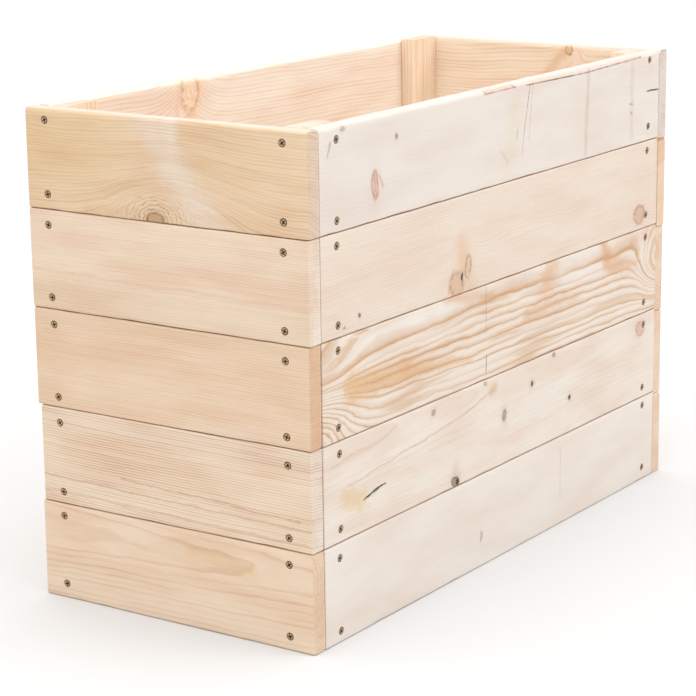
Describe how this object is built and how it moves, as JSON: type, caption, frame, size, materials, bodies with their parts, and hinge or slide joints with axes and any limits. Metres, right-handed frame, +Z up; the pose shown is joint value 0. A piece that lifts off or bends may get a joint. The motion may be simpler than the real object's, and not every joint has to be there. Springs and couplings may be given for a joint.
{
  "type": "slatted timber planter box",
  "caption": "Open-topped rectangular timber box: rows of planed pine boards screwed to corner battens, with a slatted floor on two cleats.",
  "frame": {"origin": "middle of the box's footprint, on the surface it stands on", "axes": "+X along the long sides, +Y along the short sides, towards the back, +Z up"},
  "size_m": [0.7, 0.328, 0.49],
  "materials": {
    "end_board_pine": "planed raw pine, warm",
    "long_board_pine": "planed raw pine, pale",
    "batten_pine": "planed raw pine",
    "floor_pine": "planed raw pine",
    "screw_steel": "yellow zinc plated, satin"
  },
  "bodies": {
    "root": {"left_end_board_row_1": "end_board_pine", "left_end_board_row_2": "end_board_pine", "left_end_board_row_3": "end_board_pine", "left_end_board_row_4": "end_board_pine", "left_end_board_row_5": "end_board_pine", "right_end_board_row_1": "end_board_pine", "right_end_board_row_2": "end_board_pine", "right_end_board_row_3": "end_board_pine", "right_end_board_row_4": "end_board_pine", "right_end_board_row_5": "end_board_pine", "front_board_row_1": "long_board_pine", "front_board_row_2": "long_board_pine", "front_board_row_3": "long_board_pine", "front_board_row_4": "long_board_pine", "front_board_row_5": "long_board_pine", "back_board_row_1": "long_board_pine", "back_board_row_2": "long_board_pine", "back_board_row_3": "long_board_pine", "back_board_row_4": "long_board_pine", "back_board_row_5": "long_board_pine", "corner_batten_front_left": "batten_pine", "corner_batten_front_right": "batten_pine", "corner_batten_back_left": "batten_pine", "corner_batten_back_right": "batten_pine", "floor_cleat_front": "batten_pine", "floor_cleat_back": "batten_pine", "floor_slat_1": "floor_pine", "floor_slat_2": "floor_pine", "floor_slat_3": "floor_pine", "floor_slat_4": "floor_pine", "floor_slat_5": "floor_pine", "floor_slat_6": "floor_pine", "screws_left_end": "screw_steel", "screws_right_end": "screw_steel", "screws_front": "screw_steel", "screws_back": "screw_steel", "screws_floor_slats": "screw_steel", "screws_cleats": "screw_steel"}
  },
  "joints": []
}
